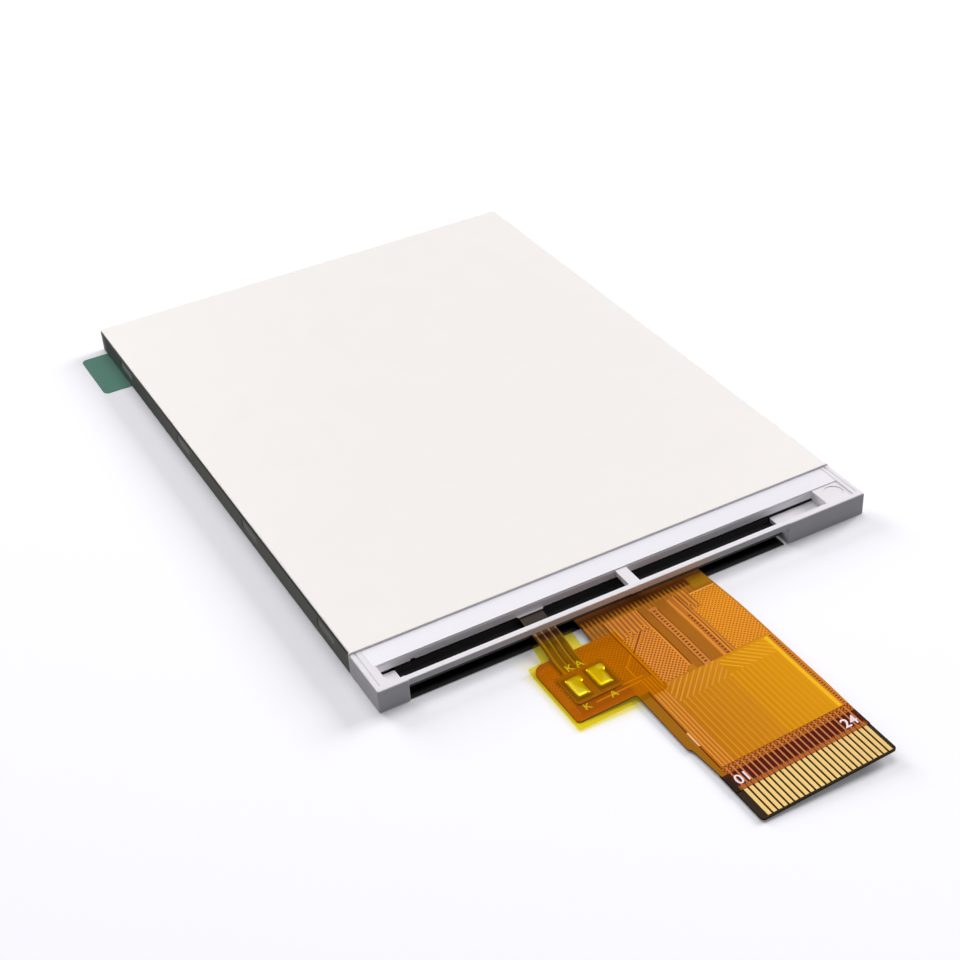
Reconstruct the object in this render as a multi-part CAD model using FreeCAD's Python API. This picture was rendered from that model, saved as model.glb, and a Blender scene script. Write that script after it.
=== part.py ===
import FreeCAD, Part
import math
import os

os.makedirs("parts", exist_ok=True)

# A bare 2.8 inch TFT display module that lies on its front face, with its metal back up.
# X runs across the module, Y from the contact tail to the far end, Z up from the front face.
# Sizes are in millimetres. Places along Y are counted from the module's near edge,
# which is the end that the flexible circuit leaves by.

# The module's outside
module_width = 50.0
module_length = 69.2

# The layers, from the front face up
film_thickness = 0.08
polariser_thickness = 0.14
glass_thickness = 0.5
cell_gap = 0.02
rim_tape_thickness = 0.05
prism_thickness = 0.06
diffuser_thickness = 0.08
guide_thickness = 0.55
reflector_thickness = 0.10
cover_clearance = 0.02
cover_sheet = 0.2

# The metal back cover
cover_start = 5.4
cover_corner = 0.4
cover_bend = 0.25
cover_wall_foot = 0.1
frame_clearance = 0.02
window_first = 10.2
window_last_inset = 8.3
window_count = 4
window_length = 3.5
window_height = 0.9
window_foot = 0.92
catch_clearance = 0.08
catch_setback = 0.05

# The moulded frame
frame_foot = 0.05
frame_corner = 0.15
frame_edge_round = 0.12
panel_clearance = 0.1
optics_clearance = 0.1
rim_left = 1.05
rim_right = 0.9
rim_groove_width = 0.14
rim_groove_depth = 0.06
rim_groove_inset = 0.5
bar_setback = 0.06
bar_depth = 0.66
bar_height = 0.66
bar_edge_round = 0.08
inner_corner_round = 0.12
slot_far_wall = 2.98
block_left = 2.9
block_right = 8.6
block_depth = 2.9
ledge_height = 1.18
slot_left_wall = 1.3
pad_width = 3.75
pad_drop = 0.1
pad_front_wall = 0.5
pad_mark_radius = 0.95
pad_mark_depth = 0.06
pad_mark_inset = 2.15
pad_mark_place = 1.8
rib_width = 1.1
rib_centre = 0.3
rib_depth_at_bar = 0.94
rib_depth_at_crossbar = 0.62
crossbar_depth = 1.92
crossbar_edge_round = 0.12
led_flex_lip = 0.27
lead_notch_height = 0.03
lead_notch_gap = 0.15
lead_lip_reach = 0.24
lead_lip_height = 0.06
wall_notch_inset = 4.7
wall_notch_width = 0.45
wall_notch_height = 0.16

# The panel: two glasses, their seal, polarisers and the driver chip
panel_side_border = 1.7
panel_far_border = 1.7
array_start = 3.0
glass_ledge = 3.2
seal_inset = 0.2
seal_width = 0.9
polariser_inset = 0.4
polariser_near_inset = 0.3
chip_length = 18.0
chip_width = 1.0
chip_thickness = 0.3
chip_from_edge = 1.7

# The backlight
guide_side_inset = 0.8
guide_far_inset = 0.7
guide_end_gap = 0.1
sheet_setback = 1.6
led_count = 4
led_width = 3.8
led_depth = 1.0
led_height = 0.6
led_window_width = 2.8
led_window_height = 0.4
led_window_depth = 0.2
led_gap = 0.05
led_flex_thickness = 0.12
led_flex_near = 4.4
led_flex_far = 7.5
led_flex_side_gap = 0.2
rim_tape_near_width = 3.4
rim_tape_overlap = 0.6
rim_tape_near = 4.6
reflector_side_gap = 0.03
reflector_setback = 0.07
reflector_far_border = 1.13

# The black tapes over the flexible circuit's root
tape_thickness = 0.05
root_tape_near = 0.75
root_tape_riser = 0.3
root_tape_lap = 1.3
tape_side_gap = 0.05
front_tape_near = 0.12
front_tape_foot = 0.06
front_tape_slope = 1.8
front_tape_lap = 0.2
front_tape_right_gap = 0.35

# The protective film's pull tab
tab_thickness = 0.04
tab_reach = 3.0
tab_width = 8.0
tab_from_far = 1.3
tab_corner = 0.6

# The flexible circuit
flex_base_thickness = 0.05
copper_thickness = 0.035
coverlay_thickness = 0.035
flex_bond = 1.3
copper_margin = 0.4
neck_left = -5.95
tail_left = -6.35
tail_right = 7.05
waist_left = -6.1
end_left = -5.9
end_right = 6.92
lobe_left = -11.95
lobe_top = -2.25
lobe_bottom = -9.7
end_section = -17.0
end_step = 0.3
tail_end = -26.1
lobe_round = 1.0
corner_round = 0.35
inner_round = 0.25
stiffener_thickness = 0.1
stiffener_start = -20.6
contact_count = 24
contact_pitch = 0.5
contact_width = 0.33
contact_first = -5.1
contact_start = -22.82
contact_end = -25.93
track_start = -12.0
track_width = 0.26
copper_top = -1.2
ground_right = 1.6
copper_plates = [(-4.0, -0.55), (-0.3, 0.4), (1.3, 2.4), (3.9, 6.55)]

# How high the circuit's underside lies, at a line left of its lobe and at its right side:
# distance from the near edge, height at the left line, height at the right line.
# It leaves at the glass, sinks to the table on the left and stays off it on the right.
lie_left = -12.6
lie_right = 7.2
circuit_lie = [
    (-1.2, 0.42, 0.70),
    (-2.5, 0.12, 0.79),
    (-4.5, 0.01, 0.93),
    (-8.0, 0.0, 0.98),
    (-16.0, -0.18, 0.95),
    (-27.0, -0.12, 1.0),
]
root_straight = 0.7

# The backlight's lead, its solder joints and the clear tape over them
lead_left = -10.15
lead_right = -7.85
lead_landing = -2.8
lead_sag = [
    (3.9, 1.37),
    (3.3, 1.30),
    (2.95, 1.29),
    (2.2, 1.15),
    (0.9, 0.99),
    (-0.6, 0.84),
    (-1.9, 0.53),
]
head_left = -10.95
head_right = -6.45
head_top = -4.4
head_bottom = -8.1
solder_height = 0.12
solder_head_length = 0.9
solder_stem_round = 0.3
solder_left_head = (-10.65, -9.05, -5.3)
solder_left_stem = (-10.6, -9.3)
solder_right_head = (-8.5, -6.75, -5.0)
solder_right_stem = (-8.45, -7.1)
solder_end_gap = 0.4
clear_tape_left = -12.35
clear_tape_right = -3.7
clear_tape_top = -2.35
clear_tape_bottom = -10.55
clear_tape_thickness = 0.05
clear_tape_gap = 0.06
clear_tape_slope = 0.6
clear_tape_shoulder = 0.35
clear_tape_rise = 0.08
clear_tape_corner = 0.2
tongue_margin = 0.8
tongue_top = -0.6
tongue_fall = -1.6

# Levels that follow from the layers
film_top = film_thickness
filter_bottom = film_top + polariser_thickness
filter_top = filter_bottom + glass_thickness
array_bottom = filter_top + cell_gap
array_top = array_bottom + glass_thickness
rim_tape_bottom = array_top + polariser_thickness
rim_tape_top = rim_tape_bottom + rim_tape_thickness
lower_prism_top = rim_tape_top + prism_thickness
upper_prism_top = lower_prism_top + prism_thickness
diffuser_top = upper_prism_top + diffuser_thickness
guide_top = diffuser_top + guide_thickness
reflector_top = guide_top + reflector_thickness
frame_top = reflector_top + cover_clearance
cover_top = frame_top + cover_sheet

# Places that follow from the sizes above
half_width = module_width / 2
panel_width = module_width - 2 * panel_side_border
guide_width = panel_width - 2 * guide_side_inset
window_pitch = (module_length - window_first - window_last_inset) / (window_count - 1)
led_pitch = guide_width / led_count
frame_half = half_width - cover_sheet - frame_clearance
frame_far = module_length - cover_sheet - frame_clearance
array_far = module_length - panel_far_border
filter_near = array_start + glass_ledge
led_near = slot_far_wall + crossbar_depth + led_gap
guide_near = led_near + led_depth + led_gap
guide_far = array_far - guide_far_inset
sheet_near = guide_near + sheet_setback
bar_foot = frame_top - bar_height
pocket_left = block_left - half_width
pocket_right = half_width - block_right
flex_thickness = flex_base_thickness + copper_thickness + coverlay_thickness
root_height = array_bottom - flex_thickness
root_far = array_start + flex_bond
reflector_near = slot_far_wall + reflector_setback
reflector_far = module_length - reflector_far_border


def at(x, y, z=0.0):
    """A point whose Y is counted from the module's near edge."""
    return FreeCAD.Vector(x, y - module_length / 2, z)


def block(x0, x1, y0, y1, z0, z1):
    """A rectangular block between two corners."""
    return Part.makeBox(x1 - x0, y1 - y0, z1 - z0, at(x0, y0, z0))


def is_vertical(edge):
    """Whether a straight edge stands along Z."""
    a = edge.Vertexes[0].Point
    b = edge.Vertexes[-1].Point
    return abs(a.x - b.x) < 1e-6 and abs(a.y - b.y) < 1e-6


def round_corners(shape, radius, y_low, y_high):
    """Rounds the standing edges that lie between two distances from the near edge."""
    low = at(0, y_low).y - 1e-6
    high = at(0, y_high).y + 1e-6
    edges = [e for e in shape.Edges if is_vertical(e) and low <= e.Vertexes[0].Point.y <= high]
    return shape.makeFillet(radius, edges)


def plate(half, y0, y1, z0, z1):
    """A plain sheet, centred across the module."""
    return block(-half, half, y0, y1, z0, z1)


def outline_face(points):
    """A flat face from corner points (x, y, radius), each corner rounded by its radius."""
    corners = [at(x, y) for x, y, radius in points]
    edges = []
    starts = []
    ends = []
    for i, (x, y, radius) in enumerate(points):
        here = corners[i]
        before = (corners[i - 1] - here).normalize()
        after = (corners[(i + 1) % len(corners)] - here).normalize()
        if radius == 0:
            starts.append(here)
            ends.append(here)
            continue
        half_turn = before.getAngle(after) / 2
        reach = radius / math.tan(half_turn)
        middle = (before + after).normalize()
        centre = here + middle * (radius / math.sin(half_turn))
        starts.append(here + before * reach)
        ends.append(here + after * reach)
        crown = centre - middle * radius
        edges.append(Part.Arc(starts[i], crown, ends[i]).toShape())
    for i in range(len(points)):
        following = (i + 1) % len(points)
        if (ends[i] - starts[following]).Length > 1e-6:
            edges.append(Part.makeLine(ends[i], starts[following]))
    return Part.Face(Part.Wire(Part.__sortEdges__(edges)))


def prism(face, z0, z1):
    """A flat face at Z = 0 raised into a solid between two levels."""
    raised = face.extrude(FreeCAD.Vector(0, 0, z1 - z0))
    raised.translate(FreeCAD.Vector(0, 0, z0))
    return raised


def strip_face(x0, x1, y0, y1):
    """A plain rectangle in plan."""
    return outline_face([(x0, y0, 0), (x1, y0, 0), (x1, y1, 0), (x0, y1, 0)])


def side_blocks(half_in, half_out, length, z0, z1):
    """Blocks at both sides, one at each place where the cover's walls are open."""
    blocks = []
    for i in range(window_count):
        middle = window_first + i * window_pitch
        y0 = middle - length / 2
        y1 = middle + length / 2
        blocks.append(block(half_in, half_out, y0, y1, z0, z1))
        blocks.append(block(-half_out, -half_in, y0, y1, z0, z1))
    return blocks


def outer_edges(shape, level):
    """The edges of a shape at one level, apart from those across the cover's open end."""
    open_end = at(0, cover_start).y
    found = []
    for edge in shape.Edges:
        points = [v.Point for v in edge.Vertexes]
        is_level = all(abs(p.z - level) < 1e-6 for p in points)
        is_across = all(abs(p.y - open_end) < 1e-6 for p in points)
        if is_level and not is_across:
            found.append(edge)
    return found


def back_cover():
    """The pressed metal cover: a sheet with three walls turned down, open at the near end."""
    outer = block(-half_width, half_width, cover_start, module_length, cover_wall_foot, cover_top)
    outer = round_corners(outer, cover_corner, module_length, module_length)
    outer = outer.makeFillet(cover_bend, outer_edges(outer, cover_top))
    half_in = half_width - cover_sheet
    far_in = module_length - cover_sheet
    inner = block(-half_in, half_in, cover_start, far_in, cover_wall_foot - 1, frame_top)
    inner = round_corners(inner, cover_corner - cover_sheet, far_in, far_in)
    inner = inner.makeFillet(cover_bend - cover_sheet, outer_edges(inner, frame_top))
    z1 = window_foot + window_height
    windows = side_blocks(half_in - 0.1, half_width + 0.1, window_length, window_foot, z1)
    return outer.cut(inner).cut(windows)


def front_edges(shape):
    """The top edges along the frame's near end and its sides."""
    near_corner = at(0, frame_corner).y
    found = []
    for edge in outer_edges(shape, frame_top):
        points = [v.Point for v in edge.Vertexes]
        is_near = all(p.y < near_corner + 1e-6 for p in points)
        is_side = all(abs(abs(p.x) - half_width) < 1e-6 for p in points)
        if is_near or is_side:
            found.append(edge)
    return found


def end_bar():
    """The slim bar over the circuit, a little behind the two end blocks, with soft edges."""
    grip = inner_corner_round + bar_edge_round
    x0 = pocket_left - grip
    x1 = pocket_right + grip
    bar = block(x0, x1, bar_setback, bar_depth, bar_foot, frame_top)
    edges = [e for e in bar.Edges if e.BoundBox.XLength > half_width]
    return bar.makeFillet(bar_edge_round, edges)


def frame_blank():
    """The frame's outer body: full width at the near end, set in for the cover's walls."""
    near_part = block(-half_width, half_width, 0, cover_start, frame_foot, frame_top)
    near_part = round_corners(near_part, frame_corner, 0, 0)
    front_gap = block(pocket_left, pocket_right, -1, bar_depth, frame_foot - 1, frame_top + 1)
    near_part = near_part.cut(front_gap)
    near_part = round_corners(near_part, inner_corner_round, 0, 0)
    near_part = near_part.makeFillet(frame_edge_round, front_edges(near_part))
    far_part = block(-frame_half, frame_half, cover_start, frame_far, frame_foot, frame_top)
    corner = cover_corner - cover_sheet - frame_clearance
    far_part = round_corners(far_part, corner, frame_far, frame_far)
    far_part = far_part.makeFillet(cover_bend - cover_sheet, outer_edges(far_part, frame_top))
    return near_part.fuse(far_part)


def frame_rooms():
    """The hollows of the frame for the panel, the light guide and the reflector."""
    panel_half = panel_width / 2 + panel_clearance
    optics_half = guide_width / 2 + optics_clearance
    optics_near = slot_far_wall + crossbar_depth
    under = frame_foot - 1
    over = frame_top + 1
    panel_far = array_far + panel_clearance
    panel_room = plate(panel_half, block_depth, panel_far, under, rim_tape_top)
    optics_room = plate(optics_half, optics_near, guide_far + guide_end_gap, under, over)
    bed_left = rim_left - half_width
    bed_right = half_width - rim_right
    bed_far = reflector_far + reflector_side_gap
    reflector_bed = block(bed_left, bed_right, slot_far_wall, bed_far, guide_top, over)
    return [panel_room, optics_room, reflector_bed]


def end_bay():
    """The hollows of the near end: the circuit's pocket, the open slot and the sunk pad."""
    under = frame_foot - 1
    over = frame_top + 1
    slot_left = slot_left_wall - half_width
    pad_left = half_width - pad_width
    pad_right = half_width - rim_right
    pad_top = frame_top - pad_drop
    pocket = block(pocket_left, pocket_right, -1, block_depth, under, bar_foot)
    slot = block(slot_left, pad_left, bar_depth, slot_far_wall, ledge_height, over)
    pad = block(pad_left, pad_right, pad_front_wall, slot_far_wall, pad_top, over)
    mark_place = at(half_width - pad_mark_inset, pad_mark_place, pad_top - pad_mark_depth)
    mark = Part.makeCylinder(pad_mark_radius, 1, mark_place)
    return [pocket, slot, pad, mark]


def rim_grooves():
    """A fine moulded groove along each side rim of the near end."""
    z0 = frame_top - rim_groove_depth
    middle = half_width - rim_groove_inset
    x0 = middle - rim_groove_width / 2
    x1 = middle + rim_groove_width / 2
    right = block(x0, x1, bar_depth, cover_start, z0, frame_top + 1)
    left = block(-x1, -x0, bar_depth, cover_start, z0, frame_top + 1)
    return [right, left]


def crossbar_hollows():
    """Room below the crossbar for the lamps' strip, and notches through its front lip."""
    lip_end = slot_far_wall + led_flex_lip
    wall = slot_far_wall + crossbar_depth
    strip_top = rim_tape_top + led_flex_thickness + cover_clearance
    notch_top = rim_tape_top + lead_notch_height
    strip_room = plate(guide_width / 2, lip_end, wall, rim_tape_top, strip_top)
    lead_x0 = lead_left - lead_notch_gap
    lead_x1 = lead_right + lead_notch_gap
    near = slot_far_wall - 0.1
    lead_notch = block(lead_x0, lead_x1, near, lip_end, rim_tape_top, notch_top)
    small_x0 = wall_notch_inset - half_width - wall_notch_width / 2
    small_x1 = small_x0 + wall_notch_width
    small_top = rim_tape_top + wall_notch_height
    small_notch = block(small_x0, small_x1, near, lip_end, rim_tape_top, small_top)
    return [strip_room, lead_notch, small_notch]


def lead_lip():
    """The small sloping tongue of the crossbar over the place where the lead comes out."""
    foot = rim_tape_top + lead_notch_height
    top = foot + lead_lip_height
    tip = slot_far_wall - lead_lip_reach
    grip = slot_far_wall + led_flex_lip / 2
    outline = [
        (lead_left - lead_notch_gap, grip, 0),
        (lead_left - lead_notch_gap, tip, lead_notch_gap),
        (lead_right + lead_notch_gap, tip, lead_notch_gap),
        (lead_right + lead_notch_gap, grip, 0),
    ]
    return prism(outline_face(outline), foot, top)


def centre_rib():
    """The short rib that ties the end bar to the crossbar, with a hollowed underside."""
    near = bar_depth / 2
    far = slot_far_wall
    foot_near = frame_top - rib_depth_at_bar
    foot_far = frame_top - rib_depth_at_crossbar
    top = guide_top
    corners = [at(0, near, foot_near), at(0, near, top), at(0, far, top), at(0, far, foot_far)]
    belly = at(0, (near + far) / 2, foot_far - (foot_far - foot_near) / 6)
    under = Part.Arc(corners[3], belly, corners[0]).toShape()
    sides = [Part.makeLine(corners[i], corners[i + 1]) for i in range(3)]
    rib = Part.Face(Part.Wire(sides + [under]))
    rib = rib.extrude(FreeCAD.Vector(rib_width, 0, 0))
    rib.translate(FreeCAD.Vector(rib_centre - rib_width / 2, 0, 0))
    return rib


def crossbar_edges(shape):
    """The top edge of the crossbar towards the slot."""
    wall = at(0, slot_far_wall).y
    found = []
    for edge in shape.Edges:
        points = [v.Point for v in edge.Vertexes]
        is_level = all(abs(p.z - guide_top) < 1e-6 for p in points)
        is_at_wall = all(abs(p.y - wall) < 1e-6 for p in points)
        if is_level and is_at_wall and edge.Length > half_width:
            found.append(edge)
    return found


def ledge_corners(shape):
    """The standing edges where the two ledges end over the rear glass."""
    found = []
    for x in (pocket_left, pocket_right):
        corner = at(x, block_depth)
        for edge in shape.Edges:
            place = edge.Vertexes[0].Point
            if is_vertical(edge) and math.hypot(place.x - corner.x, place.y - corner.y) < 1e-6:
                found.append(edge)
    return found


def mould_frame():
    """The white moulded frame: a stepped ring with an open end bay for circuit and lead."""
    frame = frame_blank().cut(frame_rooms() + end_bay() + rim_grooves() + crossbar_hollows())
    frame = frame.makeFillet(crossbar_edge_round, crossbar_edges(frame))
    frame = frame.makeFillet(inner_corner_round, ledge_corners(frame))
    z0 = window_foot + catch_clearance
    z1 = window_foot + window_height - catch_clearance
    length = window_length - 2 * catch_clearance
    catches = side_blocks(frame_half - 0.1, half_width - catch_setback, length, z0, z1)
    frame = frame.fuse([end_bar(), centre_rib(), lead_lip()] + catches)
    return frame.removeSplitter()


def reflector_film():
    """The white film behind the light guide; its near end stays in view past the cover."""
    x0 = rim_left - half_width + reflector_side_gap
    x1 = half_width - rim_right - reflector_side_gap
    return block(x0, x1, reflector_near, reflector_far, guide_top, reflector_top)


def light_guide():
    """The clear plate that carries the lamps' light across the screen."""
    return plate(guide_width / 2, guide_near, guide_far, diffuser_top, guide_top)


def diffuser_sheet():
    """The matte sheet in front of the light guide."""
    return plate(guide_width / 2, sheet_near, guide_far, upper_prism_top, diffuser_top)


def upper_prism_sheet():
    """The prism sheet next to the diffuser."""
    return plate(guide_width / 2, sheet_near, guide_far, lower_prism_top, upper_prism_top)


def lower_prism_sheet():
    """The prism sheet next to the panel."""
    return plate(guide_width / 2, sheet_near, guide_far, rim_tape_top, lower_prism_top)


def backlight_leds():
    """Side-firing lamps: small blocks, each with a window towards the light guide."""
    foot = rim_tape_top + led_flex_thickness
    window_low = foot + (led_height - led_window_height) / 2
    window_high = window_low + led_window_height
    window_near = led_near + led_depth - led_window_depth
    lamps = []
    for i in range(led_count):
        x = (i - (led_count - 1) / 2) * led_pitch
        x0 = x - led_width / 2
        x1 = x + led_width / 2
        body = block(x0, x1, led_near, led_near + led_depth, foot, foot + led_height)
        x0 = x - led_window_width / 2
        x1 = x + led_window_width / 2
        window = block(x0, x1, window_near, guide_near, window_low, window_high)
        lamps.append(body.cut(window))
    return Part.makeCompound(lamps)


def rim_tape():
    """The black ring of tape that holds the panel in the frame and masks its border."""
    half = panel_width / 2
    half_in = guide_width / 2 - rim_tape_overlap
    near_in = rim_tape_near + rim_tape_near_width
    far_in = guide_far - rim_tape_overlap
    ring = plate(half, rim_tape_near, array_far, rim_tape_bottom, rim_tape_top)
    return ring.cut(plate(half_in, near_in, far_in, rim_tape_bottom - 1, rim_tape_top + 1))


def panel_plate(near, z0, z1):
    """A polariser or film of the panel, set in from the glass."""
    half = panel_width / 2 - polariser_inset
    return plate(half, near + polariser_near_inset, array_far - polariser_inset, z0, z1)


def rear_polariser():
    """The polariser on the back of the rear glass."""
    return panel_plate(filter_near, array_top, rim_tape_bottom)


def array_glass():
    """The rear glass, longer at the near end, where it carries the chip and the circuit."""
    return plate(panel_width / 2, array_start, array_far, array_bottom, array_top)


def cell_seal():
    """The thin seal that holds the two glasses together round the liquid crystal."""
    half = panel_width / 2 - seal_inset
    near = filter_near + seal_inset
    far = array_far - seal_inset
    ring = plate(half, near, far, filter_top, array_bottom)
    half_in = half - seal_width
    hole = plate(half_in, near + seal_width, far - seal_width, filter_top - 1, array_bottom + 1)
    return ring.cut(hole)


def filter_glass():
    """The front glass with the colour filter."""
    return plate(panel_width / 2, filter_near, array_far, filter_bottom, filter_top)


def front_polariser():
    """The polariser on the front glass."""
    return panel_plate(filter_near, film_top, filter_bottom)


def protective_film():
    """The clear film over the screen, which the module lies on."""
    return panel_plate(filter_near, 0, film_top)


def driver_chip():
    """The bare driver chip on the ledge of the rear glass."""
    near = array_start + chip_from_edge
    return plate(chip_length / 2, near, near + chip_width, array_bottom - chip_thickness, array_bottom)


def pull_tab():
    """The green tab of the protective film, butted to the film's edge under the wall."""
    film_edge = polariser_inset - panel_width / 2
    far = module_length - tab_from_far
    near = far - tab_width
    tip = -half_width - tab_reach
    outline = [
        (film_edge, near, 0),
        (film_edge, far, 0),
        (tip, far, tab_corner),
        (tip, near, tab_corner),
    ]
    return prism(outline_face(outline), 0, tab_thickness)


def bent_tape(side_view, x0, x1):
    """A tape bent along the module, from the (y, z) points of its side view."""
    corners = [at(0, y, z) for y, z in side_view]
    tape = Part.Face(Part.makePolygon(corners + corners[:1]))
    tape = tape.extrude(FreeCAD.Vector(x1 - x0, 0, 0))
    tape.translate(FreeCAD.Vector(x0, 0, 0))
    return tape


def root_tape():
    """The black tape over the circuit's root, stepped up over the edge of the rear glass."""
    glass = array_top
    foot = array_bottom
    edge = array_start
    riser = edge - root_tape_riser
    side_view = [
        (root_tape_near, foot),
        (riser, foot),
        (edge, glass),
        (edge + root_tape_lap, glass),
        (edge + root_tape_lap, glass + tape_thickness),
        (edge - tape_thickness / 2, glass + tape_thickness),
        (riser - tape_thickness / 2, foot + tape_thickness),
        (root_tape_near, foot + tape_thickness),
    ]
    return bent_tape(side_view, pocket_left + tape_side_gap, pocket_right - tape_side_gap)


def front_tape():
    """The black tape over the chip: from the front glass, then low to the near end."""
    glass = filter_bottom
    foot = front_tape_foot
    edge = filter_near
    side_view = [
        (edge + front_tape_lap, glass),
        (edge, glass),
        (edge - front_tape_slope, foot + tape_thickness),
        (front_tape_near, foot + tape_thickness),
        (front_tape_near, foot),
        (edge - front_tape_slope, foot),
        (edge, glass - tape_thickness),
        (edge + front_tape_lap, glass - tape_thickness),
    ]
    return bent_tape(side_view, pocket_left + tape_side_gap, pocket_right - front_tape_right_gap)


def spline(points, first_slope, last_slope):
    """A smooth line through (x, y, z) points, even along Y, with its end slopes along Y."""
    line = Part.BSplineCurve()
    line.interpolate(
        Points=[at(x, y, z) for x, y, z in points],
        Parameters=[points[0][1] - y for x, y, z in points],
        InitialTangent=FreeCAD.Vector(0, -1, -first_slope),
        FinalTangent=FreeCAD.Vector(0, -1, -last_slope),
    )
    return line


def lie_line(side):
    """The line that the circuit's underside follows at the left (0) or the right (1)."""
    x = (lie_left, lie_right)[side]
    points = [(x, root_straight, root_height)]
    points += [(x, lie[0], lie[1 + side]) for lie in circuit_lie]
    return spline(points, 0, 0)


def lie_at(x, y):
    """The height and the slope along Y of the circuit's underside at a place."""
    share = (x - lie_left) / (lie_right - lie_left)
    left = lie_line(0)
    right = lie_line(1)
    place = root_straight - y
    height = (1 - share) * left.value(place).z + share * right.value(place).z
    fall = (1 - share) * left.getD1(place)[1].z + share * right.getD1(place)[1].z
    return height, -fall


def sheet_between(lines, low, high):
    """A thin sheet between two side lines, from one height above them to another."""
    face = Part.makeRuledSurface(lines[0].toShape(), lines[1].toShape())
    face.translate(FreeCAD.Vector(0, 0, low))
    return face.extrude(FreeCAD.Vector(0, 0, high - low))


def circuit_sheet(low, high):
    """A layer of the circuit's free part, before it is cut out."""
    return sheet_between([lie_line(0), lie_line(1)], low, high)


def whole_layer(low, high, outline):
    """A layer of the circuit with its straight root, cut to an outline in plan."""
    z0 = root_height + low
    z1 = root_height + high
    root = block(lie_left, lie_right, root_straight, root_far, z0, z1)
    cutter = prism(outline, -1, array_top)
    return circuit_sheet(low, high).common(cutter).fuse(root.common(cutter))


def layer_pieces(low, high, outlines):
    """Separate pieces of one layer of the circuit's free part, as one group."""
    sheet = circuit_sheet(low, high)
    solids = []
    for outline in outlines:
        solids += sheet.common(prism(outline, -1, array_top)).Solids
    return Part.makeCompound(solids)


def circuit_outline(end, end_round):
    """The circuit in plan: neck, side lobe and tail, down to a chosen end of the tail."""
    waist = end_section - end_step
    outline = [
        (neck_left, root_far, 0),
        (neck_left, lobe_top, inner_round),
        (lobe_left, lobe_top, lobe_round),
        (lobe_left, lobe_bottom, corner_round),
        (tail_left, lobe_bottom, inner_round),
        (tail_left, end_section, 0),
        (waist_left, waist, 0),
        (end_left, stiffener_start, 0),
        (end_left, end, end_round),
        (end_right, end, end_round),
        (end_right, stiffener_start, 0),
        (tail_right, end_section, 0),
        (tail_right, root_far, 0),
    ]
    return outline_face(outline)


def contact_strips(y0, y1, width):
    """One narrow rectangle in plan for each contact of the tail."""
    strips = []
    for i in range(contact_count):
        x = contact_first + i * contact_pitch
        strips.append(strip_face(x - width / 2, x + width / 2, y0, y1))
    return strips


def flex_base():
    """The amber base film of the flexible circuit."""
    return whole_layer(0, flex_base_thickness, circuit_outline(tail_end, corner_round))


def flex_copper():
    """Copper of the circuit: tracks to the contacts, ground areas and broad conductors."""
    low = flex_base_thickness
    bottom = lobe_bottom + copper_margin
    lobe_right = tail_left + ground_right
    lobe = strip_face(lobe_left + copper_margin, lobe_right, bottom, lobe_top - copper_margin)
    plates = [strip_face(x0, x1, bottom, copper_top) for x0, x1 in copper_plates]
    tracks = contact_strips(contact_start, track_start, track_width)
    return layer_pieces(low, low + copper_thickness, [lobe] + plates + tracks)


def contact_fingers():
    """The bare gilt contacts at the end of the tail."""
    low = flex_base_thickness
    strips = contact_strips(contact_end, contact_start, contact_width)
    return layer_pieces(low, low + copper_thickness, strips)


def flex_coverlay():
    """The cover film over the copper, which leaves the contacts bare."""
    low = flex_base_thickness + copper_thickness
    return whole_layer(low, flex_thickness, circuit_outline(contact_start, 0))


def flex_stiffener():
    """The stiff plate below the tail's end."""
    outline = outline_face(
        [
            (end_left, stiffener_start, 0),
            (end_left, tail_end, corner_round),
            (end_right, tail_end, corner_round),
            (end_right, stiffener_start, 0),
        ]
    )
    return layer_pieces(-stiffener_thickness, 0, [outline])


def lead_line(x):
    """The line that the hanging lead's underside follows, at a place across it."""
    landing, slope = lie_at(x, lead_landing)
    points = [(x, led_flex_near, rim_tape_top)]
    points += [(x, y, z) for y, z in lead_sag]
    points.append((x, lead_landing, landing + flex_thickness))
    return spline(points, 0, slope)


def led_flex():
    """The lamps' strip with its lead, which hangs out of the slot and lands on the lobe."""
    half = guide_width / 2 - led_flex_side_gap
    strip_top = rim_tape_top + led_flex_thickness
    strip = plate(half, led_flex_near, led_flex_far, rim_tape_top, strip_top)
    sides = [lead_line(lead_left), lead_line(lead_right)]
    hanging = sheet_between(sides, 0, led_flex_thickness)
    landed_outline = outline_face(
        [
            (lead_left, lead_landing, 0),
            (lead_left, head_top, 0),
            (head_left, head_top, corner_round),
            (head_left, head_bottom, corner_round),
            (head_right, head_bottom, corner_round),
            (head_right, head_top, corner_round),
            (lead_right, head_top, 0),
            (lead_right, lead_landing, 0),
        ]
    )
    landed = circuit_sheet(flex_thickness, flex_thickness + led_flex_thickness)
    landed = landed.common(prism(landed_outline, -1, array_top))
    return strip.fuse([hanging, landed])


def solder_joint(head, stem):
    """One flat drop of solder: a wide head and a narrower stem."""
    x0, x1, top = head
    middle = top - solder_head_length
    foot = head_bottom + solder_end_gap
    outline = [
        (x0, top, solder_stem_round),
        (x0, middle, 0.05),
        (stem[0], middle, 0),
        (stem[0], foot, solder_stem_round),
        (stem[1], foot, solder_stem_round),
        (stem[1], middle, 0),
        (x1, middle, solder_stem_round),
        (x1, top, solder_stem_round),
    ]
    low = flex_thickness + led_flex_thickness
    return circuit_sheet(low, low + solder_height).common(prism(outline_face(outline), -1, array_top))


def solder_joints():
    """The two joints that hold the lead's head on the circuit."""
    left = solder_joint(solder_left_head, solder_left_stem)
    right = solder_joint(solder_right_head, solder_right_stem)
    return Part.makeCompound(left.Solids + right.Solids)


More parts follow.
